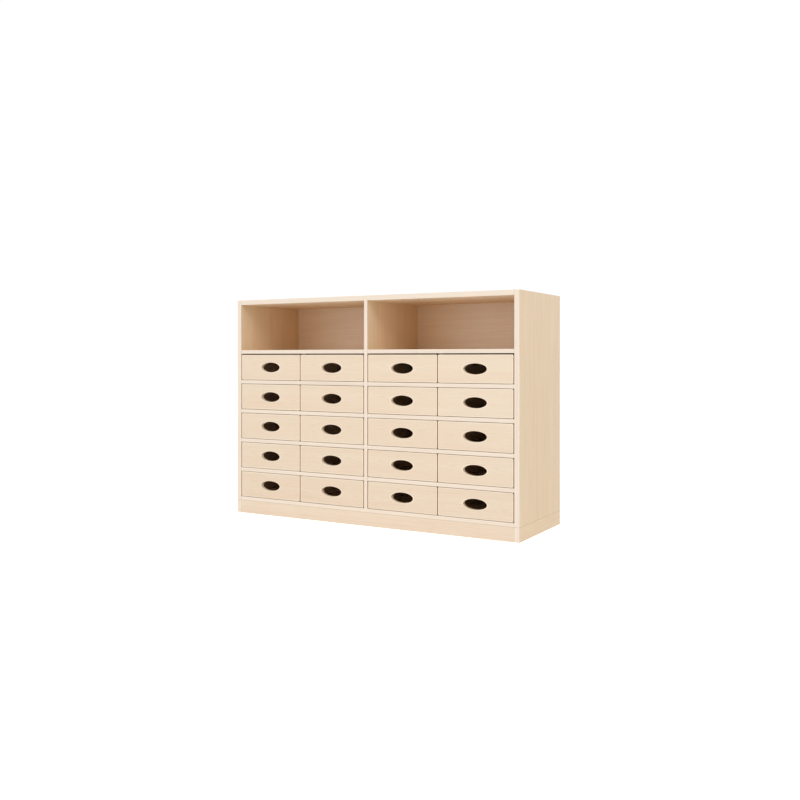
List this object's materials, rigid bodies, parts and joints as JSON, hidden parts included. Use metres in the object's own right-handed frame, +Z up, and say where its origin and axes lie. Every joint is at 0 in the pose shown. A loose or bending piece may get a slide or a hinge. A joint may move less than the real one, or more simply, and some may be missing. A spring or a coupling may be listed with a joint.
{
  "type": "cubby storage unit",
  "caption": "Low wooden storage unit with two open cubbies above rows of small inset drawers with oval finger holes, on a flush plinth.",
  "frame": {"origin": "on the floor, under the middle of the footprint", "axes": "+X to the right as seen from the front, +Y to the back, +Z up; the front faces -Y"},
  "size_m": [1.2, 0.39, 0.84],
  "materials": {
    "laminated_board": "satin",
    "edge_band": "satin",
    "back_board": "satin",
    "drawer_front_board": "satin",
    "drawer_box_board": "satin",
    "dowel_beech": "matte",
    "zinc_screw": "satin"
  },
  "bodies": {
    "carcass": {"side_panel_left": "laminated_board", "side_panel_right": "laminated_board", "top_panel": "laminated_board", "bottom_panel": "laminated_board", "centre_divider": "laminated_board", "back_panel": "back_board", "cubby_shelf_left": "laminated_board", "cubby_shelf_right": "laminated_board", "drawer_shelves_under_row1": "laminated_board", "drawer_shelves_under_row2": "laminated_board", "drawer_shelves_under_row3": "laminated_board", "drawer_shelves_under_row4": "laminated_board", "drawer_partitions": "laminated_board", "plinth_side_left": "laminated_board", "plinth_side_right": "laminated_board", "plinth_front": "laminated_board", "plinth_rear": "laminated_board", "edge_bands": "edge_band", "dowels": "dowel_beech", "back_panel_screws": "zinc_screw"},
    "drawer_row1_col1": {"drawer_front_row1_col1": "drawer_front_board", "drawer_box_row1_col1": "drawer_box_board"},
    "drawer_row1_col2": {"drawer_front_row1_col2": "drawer_front_board", "drawer_box_row1_col2": "drawer_box_board"},
    "drawer_row1_col3": {"drawer_front_row1_col3": "drawer_front_board", "drawer_box_row1_col3": "drawer_box_board"},
    "drawer_row1_col4": {"drawer_front_row1_col4": "drawer_front_board", "drawer_box_row1_col4": "drawer_box_board"},
    "drawer_row2_col1": {"drawer_front_row2_col1": "drawer_front_board", "drawer_box_row2_col1": "drawer_box_board"},
    "drawer_row2_col2": {"drawer_front_row2_col2": "drawer_front_board", "drawer_box_row2_col2": "drawer_box_board"},
    "drawer_row2_col3": {"drawer_front_row2_col3": "drawer_front_board", "drawer_box_row2_col3": "drawer_box_board"},
    "drawer_row2_col4": {"drawer_front_row2_col4": "drawer_front_board", "drawer_box_row2_col4": "drawer_box_board"},
    "drawer_row3_col1": {"drawer_front_row3_col1": "drawer_front_board", "drawer_box_row3_col1": "drawer_box_board"},
    "drawer_row3_col2": {"drawer_front_row3_col2": "drawer_front_board", "drawer_box_row3_col2": "drawer_box_board"},
    "drawer_row3_col3": {"drawer_front_row3_col3": "drawer_front_board", "drawer_box_row3_col3": "drawer_box_board"},
    "drawer_row3_col4": {"drawer_front_row3_col4": "drawer_front_board", "drawer_box_row3_col4": "drawer_box_board"},
    "drawer_row4_col1": {"drawer_front_row4_col1": "drawer_front_board", "drawer_box_row4_col1": "drawer_box_board"},
    "drawer_row4_col2": {"drawer_front_row4_col2": "drawer_front_board", "drawer_box_row4_col2": "drawer_box_board"},
    "drawer_row4_col3": {"drawer_front_row4_col3": "drawer_front_board", "drawer_box_row4_col3": "drawer_box_board"},
    "drawer_row4_col4": {"drawer_front_row4_col4": "drawer_front_board", "drawer_box_row4_col4": "drawer_box_board"},
    "drawer_row5_col1": {"drawer_front_row5_col1": "drawer_front_board", "drawer_box_row5_col1": "drawer_box_board"},
    "drawer_row5_col2": {"drawer_front_row5_col2": "drawer_front_board", "drawer_box_row5_col2": "drawer_box_board"},
    "drawer_row5_col3": {"drawer_front_row5_col3": "drawer_front_board", "drawer_box_row5_col3": "drawer_box_board"},
    "drawer_row5_col4": {"drawer_front_row5_col4": "drawer_front_board", "drawer_box_row5_col4": "drawer_box_board"}
  },
  "joints": [
    {"name": "drawer_slide_row1_col1", "type": "slide", "parent": "carcass", "child": "drawer_row1_col1", "axis": [0, -1, 0], "range_m": [0, 0.3]},
    {"name": "drawer_slide_row1_col2", "type": "slide", "parent": "carcass", "child": "drawer_row1_col2", "axis": [0, -1, 0], "range_m": [0, 0.3]},
    {"name": "drawer_slide_row1_col3", "type": "slide", "parent": "carcass", "child": "drawer_row1_col3", "axis": [0, -1, 0], "range_m": [0, 0.3]},
    {"name": "drawer_slide_row1_col4", "type": "slide", "parent": "carcass", "child": "drawer_row1_col4", "axis": [0, -1, 0], "range_m": [0, 0.3]},
    {"name": "drawer_slide_row2_col1", "type": "slide", "parent": "carcass", "child": "drawer_row2_col1", "axis": [0, -1, 0], "range_m": [0, 0.3]},
    {"name": "drawer_slide_row2_col2", "type": "slide", "parent": "carcass", "child": "drawer_row2_col2", "axis": [0, -1, 0], "range_m": [0, 0.3]},
    {"name": "drawer_slide_row2_col3", "type": "slide", "parent": "carcass", "child": "drawer_row2_col3", "axis": [0, -1, 0], "range_m": [0, 0.3]},
    {"name": "drawer_slide_row2_col4", "type": "slide", "parent": "carcass", "child": "drawer_row2_col4", "axis": [0, -1, 0], "range_m": [0, 0.3]},
    {"name": "drawer_slide_row3_col1", "type": "slide", "parent": "carcass", "child": "drawer_row3_col1", "axis": [0, -1, 0], "range_m": [0, 0.3]},
    {"name": "drawer_slide_row3_col2", "type": "slide", "parent": "carcass", "child": "drawer_row3_col2", "axis": [0, -1, 0], "range_m": [0, 0.3]},
    {"name": "drawer_slide_row3_col3", "type": "slide", "parent": "carcass", "child": "drawer_row3_col3", "axis": [0, -1, 0], "range_m": [0, 0.3]},
    {"name": "drawer_slide_row3_col4", "type": "slide", "parent": "carcass", "child": "drawer_row3_col4", "axis": [0, -1, 0], "range_m": [0, 0.3]},
    {"name": "drawer_slide_row4_col1", "type": "slide", "parent": "carcass", "child": "drawer_row4_col1", "axis": [0, -1, 0], "range_m": [0, 0.3]},
    {"name": "drawer_slide_row4_col2", "type": "slide", "parent": "carcass", "child": "drawer_row4_col2", "axis": [0, -1, 0], "range_m": [0, 0.3]},
    {"name": "drawer_slide_row4_col3", "type": "slide", "parent": "carcass", "child": "drawer_row4_col3", "axis": [0, -1, 0], "range_m": [0, 0.3]},
    {"name": "drawer_slide_row4_col4", "type": "slide", "parent": "carcass", "child": "drawer_row4_col4", "axis": [0, -1, 0], "range_m": [0, 0.3]},
    {"name": "drawer_slide_row5_col1", "type": "slide", "parent": "carcass", "child": "drawer_row5_col1", "axis": [0, -1, 0], "range_m": [0, 0.3]},
    {"name": "drawer_slide_row5_col2", "type": "slide", "parent": "carcass", "child": "drawer_row5_col2", "axis": [0, -1, 0], "range_m": [0, 0.3]},
    {"name": "drawer_slide_row5_col3", "type": "slide", "parent": "carcass", "child": "drawer_row5_col3", "axis": [0, -1, 0], "range_m": [0, 0.3]},
    {"name": "drawer_slide_row5_col4", "type": "slide", "parent": "carcass", "child": "drawer_row5_col4", "axis": [0, -1, 0], "range_m": [0, 0.3]}
  ]
}
